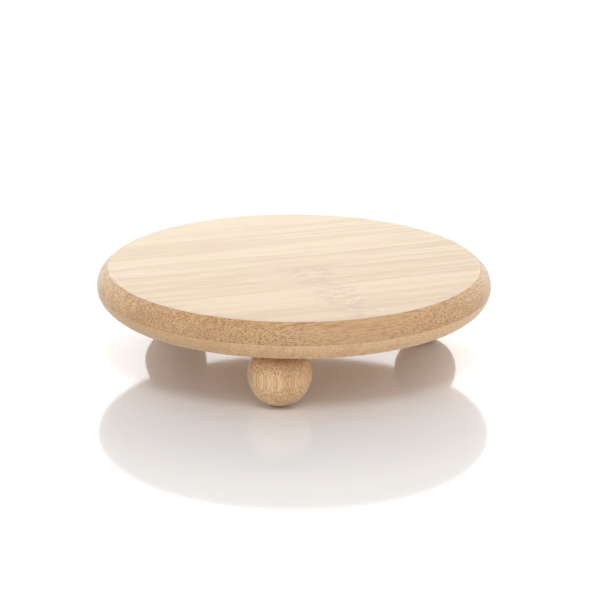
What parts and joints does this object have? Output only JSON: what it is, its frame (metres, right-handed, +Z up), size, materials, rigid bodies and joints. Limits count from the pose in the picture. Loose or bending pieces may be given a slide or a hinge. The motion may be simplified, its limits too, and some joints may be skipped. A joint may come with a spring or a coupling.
{
  "type": "lazy susan turntable",
  "caption": "Small round bamboo lazy susan: a serving board that turns on a hidden ball bearing ring over a base board with ball feet.",
  "frame": {"origin": "on the spin axis, at the level of the surface that the foot pads stand on", "axes": "+Z up along the spin axis; the front foot stands towards -Y"},
  "size_m": [0.2, 0.2, 0.049],
  "materials": {
    "bamboo_top": "natural bamboo, fine sanded, oiled, satin",
    "bamboo_base": "natural bamboo, fine sanded, oiled, satin",
    "bamboo_feet": "turned bamboo, oiled, satin",
    "pad_rubber": "soft silicone rubber, matte",
    "screw_steel": "zinc plated steel",
    "ball_steel": "polished bearing steel",
    "ring_aluminium": "turned and tumbled aluminium",
    "cage_nylon": "natural nylon"
  },
  "bodies": {
    "base": {"base_board": "bamboo_base", "access_plug": "bamboo_base", "foot_front": "bamboo_feet", "foot_rear_left": "bamboo_feet", "foot_rear_right": "bamboo_feet", "foot_pad_front": "pad_rubber", "foot_pad_rear_left": "pad_rubber", "foot_pad_rear_right": "pad_rubber", "foot_screw_front": "screw_steel", "foot_screw_rear_left": "screw_steel", "foot_screw_rear_right": "screw_steel", "inner_ring": "ring_aluminium", "inner_ring_screws": "screw_steel"},
    "turntable": {"top_board": "bamboo_top", "outer_ring": "ring_aluminium", "ball_filler_plug": "screw_steel", "outer_ring_screws": "screw_steel"},
    "cage": {"ball_cage": "cage_nylon", "bearing_balls": "ball_steel"}
  },
  "joints": [
    {"name": "turntable_spin", "type": "hinge", "parent": "base", "child": "turntable", "pos_m": [0, 0, 0.03865], "axis": [0, 0, 1], "continuous": true},
    {"name": "cage_spin", "type": "hinge", "parent": "base", "child": "cage", "pos_m": [0, 0, 0.03865], "axis": [0, 0, 1], "continuous": true}
  ],
  "couplings": [
    {"joint": "cage_spin", "follows": "turntable_spin", "ratio": 0.52}
  ]
}
